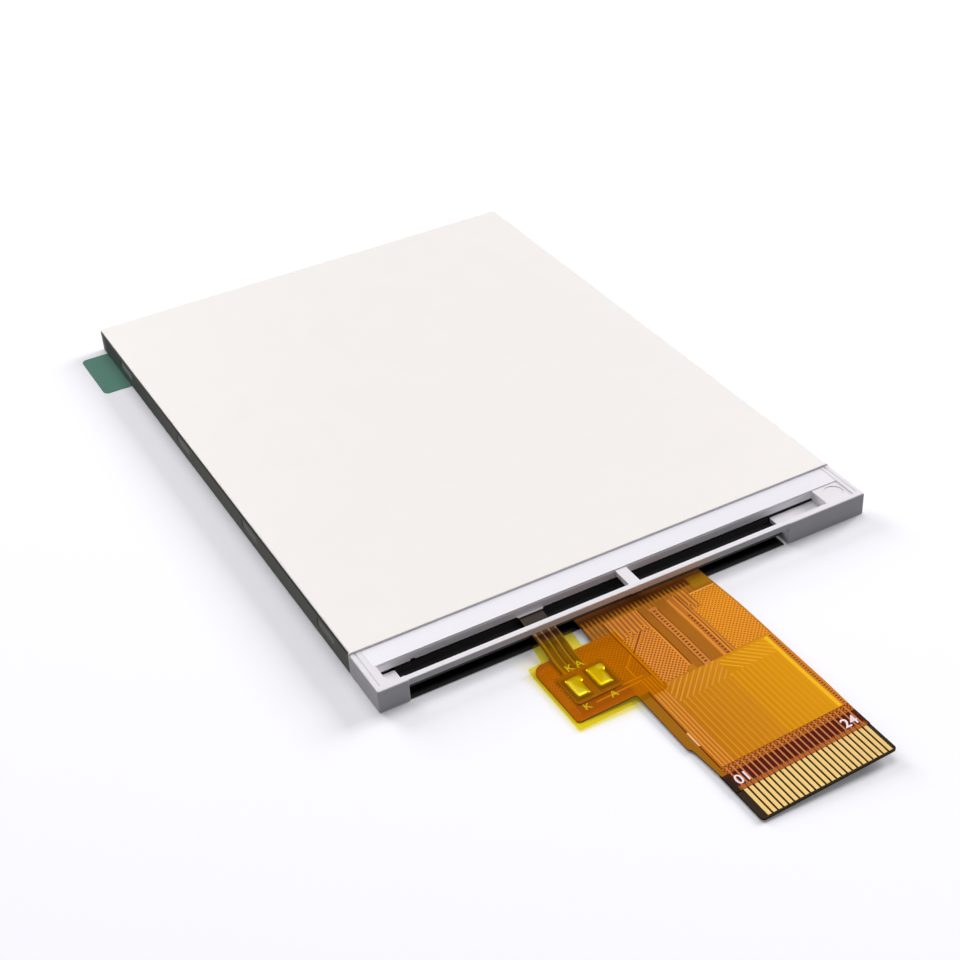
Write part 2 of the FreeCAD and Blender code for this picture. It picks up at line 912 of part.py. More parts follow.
def clear_tape_outline():
    """The clear tape in plan: a rectangle over the lobe and a tongue up along the lead."""
    tongue_left = lead_left - tongue_margin
    tongue_right = lead_right + tongue_margin
    corner = clear_tape_corner
    outline = [
        (tongue_left, tongue_top, corner),
        (tongue_left, clear_tape_top, corner),
        (clear_tape_left, clear_tape_top, corner),
        (clear_tape_left, clear_tape_bottom, corner),
        (clear_tape_right, clear_tape_bottom, corner),
        (clear_tape_right, clear_tape_top, corner),
        (tongue_right, clear_tape_top, corner),
        (tongue_right, tongue_top, corner),
    ]
    return outline_face(outline)


def clear_tape():
    """The clear yellow tape over the joints, raised where the lead and the solder are."""
    left = head_left - clear_tape_shoulder
    right = head_right + clear_tape_shoulder
    top = head_top + clear_tape_shoulder
    bottom = head_bottom - clear_tape_shoulder
    slope = clear_tape_slope
    over_lead = flex_thickness + clear_tape_gap + led_flex_thickness
    low = flex_thickness + clear_tape_gap
    high = over_lead + solder_height + clear_tape_rise
    rows = [
        (clear_tape_top, over_lead),
        (top + slope, over_lead),
        (top, high),
        (bottom, high),
        (bottom - slope, low),
        (clear_tape_bottom, low),
    ]
    columns = [clear_tape_left, left - slope, left, right, right + slope, clear_tape_right]
    poles = []
    for x in columns:
        is_over_head = left <= x <= right
        line = []
        for y in (tongue_top, tongue_fall):
            hanging = lead_line(x).value(led_flex_near - y).z
            line.append(at(x, y, hanging + led_flex_thickness + clear_tape_gap))
        for y, lift in rows:
            raised = lift if is_over_head else low
            line.append(at(x, y, lie_at(x, y)[0] + raised))
        poles.append(line)
    degree = 3
    knots = []
    mults = []
    for count in (len(columns), len(poles[0])):
        spans = count - degree
        knots.append(list(range(spans + 1)))
        mults.append([degree + 1] + [1] * (spans - 1) + [degree + 1])
    surface = Part.BSplineSurface()
    surface.buildFromPolesMultsKnots(
        poles, mults[0], mults[1], knots[0], knots[1], False, False, degree, degree
    )
    sheet = surface.toShape().extrude(FreeCAD.Vector(0, 0, clear_tape_thickness))
    return sheet.common(prism(clear_tape_outline(), -1, array_top))


nodes = [
    back_cover,
    mould_frame,
    reflector_film,
    light_guide,
    led_flex,
    backlight_leds,
    diffuser_sheet,
    upper_prism_sheet,
    lower_prism_sheet,
    rim_tape,
    rear_polariser,
    array_glass,
    cell_seal,
    filter_glass,
    front_polariser,
    protective_film,
    pull_tab,
    driver_chip,
    root_tape,
    front_tape,
    flex_base,
    flex_copper,
    contact_fingers,
    flex_coverlay,
    flex_stiffener,
    solder_joints,
    clear_tape,
]
for node in nodes:
    node().exportStep("parts/" + node.__name__ + ".step")
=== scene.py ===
import math

import bpy
from mathutils import Matrix, Vector


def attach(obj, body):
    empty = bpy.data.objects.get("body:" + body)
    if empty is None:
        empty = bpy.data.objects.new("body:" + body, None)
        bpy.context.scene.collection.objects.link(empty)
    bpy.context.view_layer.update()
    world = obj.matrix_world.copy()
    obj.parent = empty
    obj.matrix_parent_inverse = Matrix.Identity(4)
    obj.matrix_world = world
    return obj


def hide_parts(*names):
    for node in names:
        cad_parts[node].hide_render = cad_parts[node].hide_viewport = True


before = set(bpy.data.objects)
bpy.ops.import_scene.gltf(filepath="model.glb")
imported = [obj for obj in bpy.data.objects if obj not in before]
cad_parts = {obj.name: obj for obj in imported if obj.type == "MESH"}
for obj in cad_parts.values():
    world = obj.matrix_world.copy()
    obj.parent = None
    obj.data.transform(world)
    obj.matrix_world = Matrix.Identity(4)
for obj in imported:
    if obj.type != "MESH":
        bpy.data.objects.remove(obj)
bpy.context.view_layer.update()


# ---------------------------------------------------------------- view
# The module lies on its face on a table and is seen from above its near left corner,
# with the circuit's tail towards the viewer.

view_place = Vector((-0.063563, -0.131288, 0.096731))
view_right = Vector((0.872375, -0.485923, -0.053298))
view_up = Vector((0.320886, 0.486988, 0.812327))
view_back = Vector((-0.368773, -0.725756, 0.580762))
view_lens = 64.438
view_sensor = 36.0
nearest_seen = 0.005
farthest_seen = 20.0

bpy.ops.object.camera_add(location=view_place)
camera = bpy.context.object
camera.data.lens = view_lens
camera.data.sensor_width = view_sensor
camera.data.clip_start = nearest_seen
camera.data.clip_end = farthest_seen
view_turn = Matrix((view_right, view_up, view_back)).transposed()
camera.matrix_world = Matrix.Translation(view_place) @ view_turn.to_4x4()
bpy.context.scene.camera = camera


# ---------------------------------------------------------------- table and light
# A plain white table. It looks white and keeps a soft shadow, and what it sends back
# to the module is weak, so the module's sides stay in half shade.

table_size = 1.6
table_seen = (0.94, 0.935, 0.99, 1.0)
table_sent_back = (0.24, 0.24, 0.25, 1.0)
table_glow = 0.10
table_mirrored = 0.25
table_roughness = 0.9
table_gloss = 0.1
sky_colour = (0.93, 0.96, 1.0, 1.0)
sky_strength = 0.20
lamp_rows = [
    # name, place, width, power and colour
    ("lamp_overhead", (0.16, 0.30, 0.90), 0.60, 3.2, (1.0, 0.99, 0.98)),
    ("lamp_behind", (-0.25, 0.84, 0.45), 0.50, 4.6, (1.0, 0.98, 0.97)),
    ("lamp_right", (0.85, 0.12, 0.45), 0.40, 6.6, (1.0, 0.98, 0.97)),
]


def sum_of(tree, operation, *terms, clamp=False):
    """A Math node in a tree, fed by sockets or plain numbers. Gives its result."""
    node = tree.nodes.new("ShaderNodeMath")
    node.operation = operation
    node.use_clamp = clamp
    for i, term in enumerate(terms):
        if isinstance(term, (int, float)):
            node.inputs[i].default_value = term
        else:
            tree.links.new(term, node.inputs[i])
    return node.outputs[0]


def blend_colours(tree, mask, under, over):
    """One colour laid over another where a mask says so. Gives the result."""
    node = tree.nodes.new("ShaderNodeMix")
    node.data_type = "RGBA"
    for i, term in ((0, mask), (6, under), (7, over)):
        if isinstance(term, (int, float, tuple)):
            node.inputs[i].default_value = term
        else:
            tree.links.new(term, node.inputs[i])
    return node.outputs[2]


bpy.ops.mesh.primitive_plane_add(size=table_size, location=(0, 0, 0))
table = bpy.context.object
table.name = "table"
table_paint = bpy.data.materials.new("table_paint")
table_paint.use_nodes = True
tree = table_paint.node_tree
surface = tree.nodes["Principled BSDF"]
surface.inputs["Roughness"].default_value = table_roughness
surface.inputs["Specular IOR Level"].default_value = table_gloss
surface.inputs["Emission Color"].default_value = (1.0, 1.0, 1.0, 1.0)
rays = tree.nodes.new("ShaderNodeLightPath").outputs
seen = sum_of(tree, "MAXIMUM", rays["Is Camera Ray"], rays["Is Transmission Ray"])
paint = blend_colours(tree, seen, table_sent_back, table_seen)
tree.links.new(paint, surface.inputs["Base Color"])
mirrored = sum_of(tree, "MULTIPLY", rays["Is Glossy Ray"], table_mirrored)
glow = sum_of(tree, "MULTIPLY", sum_of(tree, "MAXIMUM", seen, mirrored), table_glow)
tree.links.new(glow, surface.inputs["Emission Strength"])
table.data.materials.append(table_paint)

sky = bpy.data.worlds.new("sky")
bpy.context.scene.world = sky
sky.use_nodes = True
sky_light = sky.node_tree.nodes["Background"]
sky_light.inputs["Color"].default_value = sky_colour
sky_light.inputs["Strength"].default_value = sky_strength

for name, place, width, power, colour in lamp_rows:
    bpy.ops.object.light_add(type="AREA", location=place)
    lamp = bpy.context.object
    lamp.name = name
    lamp.data.shape = "SQUARE"
    lamp.data.size = width
    lamp.data.energy = power
    lamp.data.color = colour
    lamp.rotation_euler = (-Vector(place)).to_track_quat("-Z", "Y").to_euler()

bpy.context.scene.view_settings.view_transform = "Standard"


# ---------------------------------------------------------------- screen
# The glass sandwich at the bottom: two glasses with their seal and the driver chip,
# a dark polariser on each side, and a clear film over the front, which it lies on.


def plain(red, green, blue):
    """A colour as it reads on a screen, from 0 to 255, in the values that shaders use."""
    parts = []
    for part in (red, green, blue):
        part = part / 255.0
        parts.append(part / 12.92 if part <= 0.04045 else ((part + 0.055) / 1.055) ** 2.4)
    return (*parts, 1.0)


def socketed_group(name, inputs, outputs):
    """A new shader node group with its named sockets, and its two end nodes."""
    group = bpy.data.node_groups.new(name, "ShaderNodeTree")
    kinds = {"number": "NodeSocketFloat", "colour": "NodeSocketColor", "vector": "NodeSocketVector"}
    for label, kind in inputs:
        group.interface.new_socket(name=label, in_out="INPUT", socket_type=kinds[kind])
    for label, kind in outputs:
        group.interface.new_socket(name=label, in_out="OUTPUT", socket_type=kinds[kind])
    return group, group.nodes.new("NodeGroupInput"), group.nodes.new("NodeGroupOutput")


def use_group(tree, group, **inputs):
    """Places a node group in a tree. Gives the node."""
    node = tree.nodes.new("ShaderNodeGroup")
    node.node_tree = group
    for label, term in inputs.items():
        if isinstance(term, (int, float, tuple)):
            node.inputs[label].default_value = term
        else:
            tree.links.new(term, node.inputs[label])
    return node


cloud_detail, grain_detail = 6.0, 3.0
grains_finer = 9.0
relief_depth = 0.00002
glass_index = 1.52
film_cover = 0.22

mottle, ends_in, ends_out = socketed_group(
    "mottle",
    [("Place", "vector"), ("Colour", "colour"), ("Scale", "number"), ("Strength", "number")],
    [("Colour", "colour"), ("Height", "number")],
)
cloud = mottle.nodes.new("ShaderNodeTexNoise")
cloud.inputs["Detail"].default_value = cloud_detail
mottle.links.new(ends_in.outputs["Place"], cloud.inputs["Vector"])
mottle.links.new(ends_in.outputs["Scale"], cloud.inputs["Scale"])
grains = mottle.nodes.new("ShaderNodeTexNoise")
grains.inputs["Detail"].default_value = grain_detail
mottle.links.new(ends_in.outputs["Place"], grains.inputs["Vector"])
finer = sum_of(mottle, "MULTIPLY", ends_in.outputs["Scale"], grains_finer)
mottle.links.new(finer, grains.inputs["Scale"])
swing = sum_of(mottle, "SUBTRACT", cloud.outputs["Fac"], 0.5)
swing = sum_of(mottle, "MULTIPLY", swing, ends_in.outputs["Strength"])
swing = sum_of(mottle, "ADD", swing, 1.0)
scaled = mottle.nodes.new("ShaderNodeVectorMath")
scaled.operation = "SCALE"
mottle.links.new(ends_in.outputs["Colour"], scaled.inputs[0])
mottle.links.new(swing, scaled.inputs["Scale"])
mottle.links.new(scaled.outputs[0], ends_out.inputs["Colour"])
mottle.links.new(grains.outputs["Fac"], ends_out.inputs["Height"])


def finish(
    name, colour, roughness, metallic=0.0, scale=300.0, strength=0.06, relief=0.0, sheen=0.5
):
    """A material with a slightly uneven colour and, where asked for, a fine relief."""
    made = bpy.data.materials.new(name)
    made.use_nodes = True
    tree = made.node_tree
    surface = tree.nodes["Principled BSDF"]
    surface.inputs["Roughness"].default_value = roughness
    surface.inputs["Metallic"].default_value = metallic
    surface.inputs["Specular IOR Level"].default_value = sheen
    place = tree.nodes.new("ShaderNodeTexCoord").outputs["Object"]
    uneven = use_group(tree, mottle, Place=place, Colour=colour, Scale=scale, Strength=strength)
    tree.links.new(uneven.outputs["Colour"], surface.inputs["Base Color"])
    if relief:
        bump = tree.nodes.new("ShaderNodeBump")
        bump.inputs["Strength"].default_value = relief
        bump.inputs["Distance"].default_value = relief_depth
        tree.links.new(uneven.outputs["Height"], bump.inputs["Height"])
        tree.links.new(bump.outputs["Normal"], surface.inputs["Normal"])
    return made


def dress(node, made):
    """Gives a carried-over CAD node its material."""
    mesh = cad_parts[node].data
    mesh.materials.clear()
    mesh.materials.append(made)


panel_glass = finish("panel_glass", plain(96, 110, 106), 0.04, strength=0.02)
surface = panel_glass.node_tree.nodes["Principled BSDF"]
surface.inputs["Transmission Weight"].default_value = 1.0
surface.inputs["IOR"].default_value = glass_index
dress("array_glass", panel_glass)
dress("filter_glass", panel_glass)

dark_polariser = finish("dark_polariser", plain(26, 28, 32), 0.12, strength=0.1)
dress("front_polariser", dark_polariser)
dress("rear_polariser", dark_polariser)

clear_film = finish("clear_film", plain(205, 212, 222), 0.18, strength=0.05, relief=0.2)
clear_film.node_tree.nodes["Principled BSDF"].inputs["Alpha"].default_value = film_cover
dress("protective_film", clear_film)

dress("cell_seal", finish("seal_resin", plain(150, 150, 138), 0.5))
dress("driver_chip", finish("silicon", plain(72, 74, 82), 0.18, strength=0.15))


# ---------------------------------------------------------------- frame
# One white moulding, satin from a spark-worn mould, that holds the screen from below
# and the light guide from above. Its near end shows past the metal cover, and its
# catches, in the windows of the cover's long walls, carry a painted shade.

catches_from = 0.02485
cover_near_end = -0.0290
# painted shade on the catches where they show in the cover's windows
catch_painted_shade = plain(158, 162, 154)

white_moulding = finish(
    "white_moulding", plain(238, 235, 240), 0.42, scale=500.0, strength=0.03, relief=0.25
)
tree = white_moulding.node_tree
surface = tree.nodes["Principled BSDF"]
split = tree.nodes.new("ShaderNodeSeparateXYZ")
tree.links.new(tree.nodes["Texture Coordinate"].outputs["Object"], split.inputs[0])
at_side = sum_of(tree, "ABSOLUTE", split.outputs["X"])
at_side = sum_of(tree, "GREATER_THAN", at_side, catches_from)
past_near_end = sum_of(tree, "GREATER_THAN", split.outputs["Y"], cover_near_end)
catches = sum_of(tree, "MULTIPLY", at_side, past_near_end)
whole = surface.inputs["Base Color"].links[0].from_socket
shaded = blend_colours(tree, catches, whole, catch_painted_shade)
tree.links.new(shaded, surface.inputs["Base Color"])
dress("mould_frame", white_moulding)


# ---------------------------------------------------------------- backlight
# The clear light guide with its lamps, the sheets in front of it and the cool white
# film behind it, whose near end shows between the frame and the cover.

white_film = finish("white_film", plain(249, 247, 254), 0.4, metallic=0.2, strength=0.02)
dress("reflector_film", white_film)

guide_clearness = 0.9
clear_guide = finish("clear_guide", plain(235, 242, 240), 0.08, strength=0.02)
surface = clear_guide.node_tree.nodes["Principled BSDF"]
surface.inputs["Transmission Weight"].default_value = guide_clearness
dress("light_guide", clear_guide)

frosted = finish("frosted_sheet", plain(232, 234, 236), 0.6, strength=0.03, relief=0.3)
dress("diffuser_sheet", frosted)
prisms = finish("prism_sheet", plain(214, 218, 224), 0.25, strength=0.05, relief=0.3)
dress("upper_prism_sheet", prisms)
dress("lower_prism_sheet", prisms)
dress("backlight_leds", finish("lamp_body", plain(236, 226, 178), 0.4, strength=0.06))


# ---------------------------------------------------------------- metal cover
# Thin stainless sheet, pressed to a shallow tray. Its back is evenly matte and pale. The
# turned-down walls carry a painted shade that deepens towards the far end, with a painted
# highlight at the far end itself, and the bend between back and walls carries its own
# painted shade, darkest at the near end.

wall_top, wall_top_soft = 0.00245, 0.00006
bend_foot, bend_foot_soft = 0.00212, 0.00012
far_shade_from, far_shade_over = 0.012, 0.014
corner_highlight_from, corner_highlight_over = 0.0330, 0.0010
# painted shade of the walls and the bend, and a painted highlight at the far end
wall_shade_near, wall_shade_far = plain(128, 128, 120), plain(84, 92, 86)
bend_shade_near, bend_shade_far = plain(62, 58, 54), plain(112, 114, 110)
far_corner_highlight = plain(176, 176, 176)
cover_back = plain(246, 242, 239)

cover_metal = finish(
    "cover_metal", cover_back, 0.55, metallic=0.15, scale=260.0, strength=0.03, relief=0.15
)
tree = cover_metal.node_tree
surface = tree.nodes["Principled BSDF"]
place = tree.nodes["Texture Coordinate"].outputs["Object"]
split = tree.nodes.new("ShaderNodeSeparateXYZ")
tree.links.new(place, split.inputs[0])
on_wall = sum_of(tree, "SUBTRACT", wall_top, split.outputs["Z"])
on_wall = sum_of(tree, "DIVIDE", on_wall, wall_top_soft, clamp=True)
off_near_edge = sum_of(tree, "GREATER_THAN", split.outputs["Y"], cover_near_end)
on_wall = sum_of(tree, "MULTIPLY", on_wall, off_near_edge)
pale = surface.inputs["Base Color"].links[0].from_socket
# where the painted shade changes towards the far end, and where the painted highlight lies
far_shade_mask = sum_of(tree, "SUBTRACT", split.outputs["Y"], far_shade_from)
far_shade_mask = sum_of(tree, "DIVIDE", far_shade_mask, far_shade_over, clamp=True)
corner_highlight_mask = sum_of(tree, "SUBTRACT", split.outputs["Y"], corner_highlight_from)
corner_highlight_mask = sum_of(tree, "DIVIDE", corner_highlight_mask, corner_highlight_over, clamp=True)
wall_shade_tone = blend_colours(tree, far_shade_mask, wall_shade_near, wall_shade_far)
wall_shade_tone = blend_colours(tree, corner_highlight_mask, wall_shade_tone, far_corner_highlight)
on_bend = sum_of(tree, "SUBTRACT", split.outputs["Z"], bend_foot)
on_bend = sum_of(tree, "DIVIDE", on_bend, bend_foot_soft, clamp=True)
bend_shade_tone = blend_colours(tree, far_shade_mask, bend_shade_near, bend_shade_far)
wall_shade_tone = blend_colours(tree, on_bend, wall_shade_tone, bend_shade_tone)
walls = blend_colours(tree, on_wall, pale, wall_shade_tone)
tree.links.new(walls, surface.inputs["Base Color"])
dress("back_cover", cover_metal)


# ---------------------------------------------------------------- black tapes
# Thin matte black tapes: over the circuit's root, in front of the chip, and round the
# border between the screen and the frame.

black_tape = finish("black_tape", plain(11, 11, 12), 0.55, strength=0.2, relief=0.2, sheen=0.25)
for node in ("root_tape", "front_tape", "rim_tape"):
    dress(node, black_tape)


# ---------------------------------------------------------------- flexible circuit
# Amber polyimide film with rolled copper inside: ground areas cut to a lattice, broad
# and narrow tracks that fan in to the tail, and gilt contacts that stay bare.

near_edge = -0.0346
wider_than_circuit = 80.0

base_film = finish("base_film", plain(48, 34, 12), 0.4, strength=0.1, sheen=0.1)
dress("flex_base", base_film)
dress("flex_copper", finish("copper_foil", plain(206, 128, 84), 0.3, metallic=0.9))
gilt = finish("gilt_contact", plain(228, 192, 118), 0.40, metallic=0.5, strength=0.12)
dress("contact_fingers", gilt)
stiff_film = finish("stiffener_film", plain(46, 34, 18), 0.45, strength=0.1, sheen=0.1)
dress("flex_stiffener", stiff_film)

patch, ends_in, ends_out = socketed_group(
    "patch",
    [(label, "number") for label in ("X", "Y", "Left", "Right", "Bottom", "Top", "Soft")],
    [("Mask", "number")],
)
sides = []
for low, high in (("Left", "X"), ("X", "Right"), ("Bottom", "Y"), ("Y", "Top")):
    inside = sum_of(patch, "SUBTRACT", ends_in.outputs[high], ends_in.outputs[low])
    inside = sum_of(patch, "DIVIDE", inside, ends_in.outputs["Soft"])
    sides.append(sum_of(patch, "ADD", inside, 0.5, clamp=True))
across = sum_of(patch, "MULTIPLY", sides[0], sides[1])
along = sum_of(patch, "MULTIPLY", sides[2], sides[3])
patch.links.new(sum_of(patch, "MULTIPLY", across, along), ends_out.inputs["Mask"])

tracks, ends_in, ends_out = socketed_group(
    "tracks",
    [(label, "number") for label in ("Place", "Pitch", "Shift", "Width", "Soft")],
    [("Mask", "number")],
)
step = sum_of(tracks, "SUBTRACT", ends_in.outputs["Place"], ends_in.outputs["Shift"])
step = sum_of(tracks, "DIVIDE", step, ends_in.outputs["Pitch"])
step = sum_of(tracks, "PINGPONG", step, 0.5)
step = sum_of(tracks, "MULTIPLY", step, ends_in.outputs["Pitch"])
half = sum_of(tracks, "MULTIPLY", ends_in.outputs["Width"], 0.5)
step = sum_of(tracks, "SUBTRACT", half, step)
step = sum_of(tracks, "DIVIDE", step, ends_in.outputs["Soft"])
tracks.links.new(sum_of(tracks, "ADD", step, 0.5, clamp=True), ends_out.inputs["Mask"])

eyelet, ends_in, ends_out = socketed_group(
    "eyelet",
    [(label, "number") for label in ("X", "Y", "Middle X", "Middle Y", "Radius", "Soft")],
    [("Mask", "number")],
)
away_x = sum_of(eyelet, "SUBTRACT", ends_in.outputs["X"], ends_in.outputs["Middle X"])
away_y = sum_of(eyelet, "SUBTRACT", ends_in.outputs["Y"], ends_in.outputs["Middle Y"])
away = sum_of(eyelet, "MULTIPLY", away_x, away_x)
away = sum_of(eyelet, "MULTIPLY_ADD", away_y, away_y, away)
away = sum_of(eyelet, "SQRT", away)
away = sum_of(eyelet, "SUBTRACT", ends_in.outputs["Radius"], away)
away = sum_of(eyelet, "DIVIDE", away, ends_in.outputs["Soft"])
eyelet.links.new(sum_of(eyelet, "ADD", away, 0.5, clamp=True), ends_out.inputs["Mask"])


def in_millimetres(made):
    """The X and Y of a piece's points in a material, in millimetres from the near edge."""
    to_mm = made.node_tree.nodes.new("ShaderNodeMapping")
    to_mm.inputs["Location"].default_value = (0.0, -near_edge * 1000.0, 0.0)
    to_mm.inputs["Scale"].default_value = (1000.0, 1000.0, 1000.0)
    place = made.node_tree.nodes["Texture Coordinate"].outputs["Object"]
    made.node_tree.links.new(place, to_mm.inputs["Vector"])
    parted = made.node_tree.nodes.new("ShaderNodeSeparateXYZ")
    made.node_tree.links.new(to_mm.outputs["Vector"], parted.inputs[0])
    return parted.outputs["X"], parted.outputs["Y"]


def area(left, right, bottom, top, soft=0.06):
    """The mask of a rectangle on the circuit, with edges that blur over the soft width."""
    made = use_group(
        tree, patch, X=x, Y=y, Left=left, Right=right, Bottom=bottom, Top=top, Soft=soft
    )
    return made.outputs["Mask"]


def rows_of(place, pitch, shift, width, soft=0.05):
    """The mask of evenly spaced lines along one coordinate."""
    made = use_group(tree, tracks, Place=place, Pitch=pitch, Shift=shift, Width=width, Soft=soft)
    return made.outputs["Mask"]


def line_at(place, middle, width, soft=0.05):
    """The mask of a single line along one coordinate."""
    return rows_of(place, wider_than_circuit, middle, width, soft)


def disc(middle_x, middle_y, radius):
    """The mask of a round spot."""
    middle = {"Middle X": middle_x, "Middle Y": middle_y}
    return use_group(tree, eyelet, X=x, Y=y, Radius=radius, Soft=0.05, **middle).outputs["Mask"]


def both_of(first, second):
    """Where two masks are both set."""
    return sum_of(tree, "MULTIPLY", first, second)


def lattice(pitch, width):
    """The mask of copper cut to a lattice at 45 degrees."""
    upward = rows_of(rising, pitch, 0.0, width)
    downward = rows_of(falling, pitch, 0.0, width)
    return sum_of(tree, "MAXIMUM", upward, downward)


def faint(mask, share):
    """A mask at part of its strength."""
    return sum_of(tree, "MULTIPLY", mask, share)


film_relief = 0.8
film_relief_depth = 0.00003

coverlay = finish("coverlay", plain(200, 122, 4), 0.28, scale=220.0, strength=0.10, sheen=0.05)
tree = coverlay.node_tree
surface = tree.nodes["Principled BSDF"]
x, y = in_millimetres(coverlay)
rising = sum_of(tree, "ADD", x, y)
falling = sum_of(tree, "SUBTRACT", x, y)
light_copper = plain(235, 150, 46)
lobe_copper = plain(206, 122, 50)
brown = plain(176, 106, 28)
dark_brown = plain(116, 54, 16)
to_right = sum_of(tree, "DIVIDE", sum_of(tree, "ADD", x, 4.0), 10.5, clamp=True)

look = {
    "colour": surface.inputs["Base Color"].links[0].from_socket,
    "relief": 0.0,
}


def lay(mask, tone, height=0.0):
    """Lay a tone over what is there, where the mask is set, and raise or sink the film."""
    look["colour"] = blend_colours(tree, mask, look["colour"], tone)
    if height:
        look["relief"] = sum_of(tree, "MULTIPLY_ADD", mask, height, look["relief"])


# The film's tones: the field, lighter towards the right, the neck, the lobe with its pads,
# and a painted shadow of the frame's bar over the root, with the root's tracks dim in it.
# An area is given by its left, right, bottom and top, and by how far its edge is soft.
lay(to_right, plain(230, 156, 6))
lay(area(-6.5, 7.4, -9.95, -0.9, 0.1), plain(204, 122, 20))
lay(area(-12.2, -6.2, -9.9, -2.0, 0.3), plain(204, 108, 8))
lay(area(-11.3, -6.2, -9.3, -4.2, 0.5), plain(178, 92, 10))
lay(area(-6.6, -5.5, -21.1, -10.0, 0.2), plain(166, 106, 12))
lay(area(-6.5, -4.1, -3.6, -0.9, 0.3), plain(166, 102, 20))
margin_tracks = both_of(area(-6.0, -4.2, -3.5, -1.0, 0.2), rows_of(x, 0.42, -4.4, 0.17))
lay(faint(margin_tracks, 0.6), light_copper)
# painted shadow of the frame's bar, deepening towards the bar, with the tracks dim in it
lay(faint(area(-12.2, 8.0, -2.0, 5.0, 1.4), 0.45), plain(112, 60, 8))
lay(area(-12.2, 8.0, -0.75, 5.0, 0.3), plain(104, 54, 8))
root_tracks = both_of(area(-6.2, 4.9, -1.6, -0.1, 0.5), rows_of(x, 0.42, -3.6, 0.19))
lay(faint(root_tracks, 0.7), plain(206, 136, 50))
lay(area(5.2, 7.4, -1.4, 0.2, 0.3), plain(176, 124, 18))
lay(area(-0.62, 0.15, -9.95, -1.0), brown)
lay(area(1.0, 2.08, -9.95, -1.0), brown)

# The lobe: its ground to the right of the pads and a strip of it to their left, with the
# tracks that lead from the pads to the neck.
lobe_ground = area(-7.9, -4.1, -7.9, -2.3, 0.3)
lobe_strip = area(-11.7, -10.3, -8.0, -2.8, 0.3)
hatch = both_of(sum_of(tree, "MAXIMUM", lobe_ground, lobe_strip), lattice(0.396, 0.17))
lay(area(-7.9, -4.1, -7.9, -2.3, 0.4), plain(184, 104, 22))
lay(hatch, plain(212, 126, 30), 0.6)
lay(both_of(area(-5.4, -4.0, -6.6, -5.3), line_at(falling, 1.36, 0.16)), light_copper)
lay(area(-5.36, -5.22, -7.9, -6.4), light_copper)
lay(area(-7.3, -4.7, -8.16, -8.0), light_copper)
lay(area(-9.5, -5.1, -8.62, -8.46), light_copper)
lay(area(-11.35, -11.2, -9.0, -3.6), lobe_copper)
lay(area(-11.3, -10.9, -6.3, -6.15), lobe_copper)

# The neck's left ground, under the short tracks at the root and a cut that bends away.
left_ground = area(-3.86, -0.84, -9.86, -3.6)
stubs = both_of(area(-3.8, -0.9, -3.5, -1.0), rows_of(x, 0.42, -3.6, 0.19))
short_cut = both_of(area(-3.86, -1.7, -5.6, -3.4), line_at(falling, 1.62, 0.66))
cut_corner = sum_of(tree, "GREATER_THAN", falling, 8.42)
lay(area(-3.86, -0.84, -3.7, -1.0), plain(186, 106, 50))
lay(stubs, light_copper, 1.0)
lay(left_ground, plain(118, 54, 12))
lay(both_of(left_ground, lattice(0.39, 0.20)), plain(234, 144, 48), 1.0)
lay(short_cut, plain(152, 76, 30))
lay(both_of(short_cut, rows_of(falling, 0.42, 1.41, 0.17)), light_copper)
lay(both_of(area(-1.7, -0.5, -10.0, -9.0), cut_corner), plain(198, 124, 18))
lay(area(-4.0, -3.86, -9.95, -1.0), light_copper)
lay(area(-4.14, -4.04, -9.95, -1.0), dark_brown)
lay(area(-0.86, -0.72, -9.3, -1.0), light_copper)
lay(area(-0.68, -0.58, -9.3, -1.0), dark_brown)

# The neck's two broad tracks with their rows of dots, and the fine lines beside them.
lay(area(0.18, 0.92, -9.95, -1.5), plain(214, 134, 56))
lay(area(0.14, 0.22, -9.95, -1.9), dark_brown)
lay(area(0.90, 0.98, -9.95, -1.9), dark_brown)
lay(both_of(area(0.42, 0.68, -9.9, -1.8), rows_of(y, 0.4, 0.0, 0.18)), dark_brown)
lay(area(2.12, 3.42, -9.95, -1.2), plain(196, 116, 48))
lay(area(2.18, 2.40, -9.95, -1.4), light_copper)
lay(area(2.84, 3.00, -9.95, -1.2), light_copper)
lay(area(3.14, 3.24, -9.95, -3.6), light_copper)
lay(area(3.04, 3.12, -9.95, -1.2), dark_brown)
lay(both_of(area(2.56, 2.78, -9.9, -4.0), rows_of(y, 0.4, 0.2, 0.18)), dark_brown)

# The neck's right ground with its short tracks, and the eyelets at the tracks' ends.
right_ground = area(3.4, 6.92, -9.9, -1.8)
right_stubs = area(3.2, 4.3, -3.7, -1.0)
lay(right_ground, plain(156, 78, 12))
lay(both_of(right_ground, lattice(0.39, 0.23)), plain(240, 152, 36), 0.8)
lay(area(4.2, 6.9, -1.86, -1.7), plain(246, 178, 92))
lay(right_stubs, plain(186, 106, 42))
lay(both_of(right_stubs, rows_of(x, 0.42, 3.58, 0.19)), light_copper, 1.0)
eyelet_places = ((-3.1, -3.5), (-2.65, -3.05), (-1.35, -3.05), (3.56, -3.1), (4.0, -3.55))
for middle_x, middle_y in eyelet_places:
    lay(disc(middle_x, middle_y, 0.21), light_copper)
    lay(disc(middle_x, middle_y, 0.09), dark_brown)

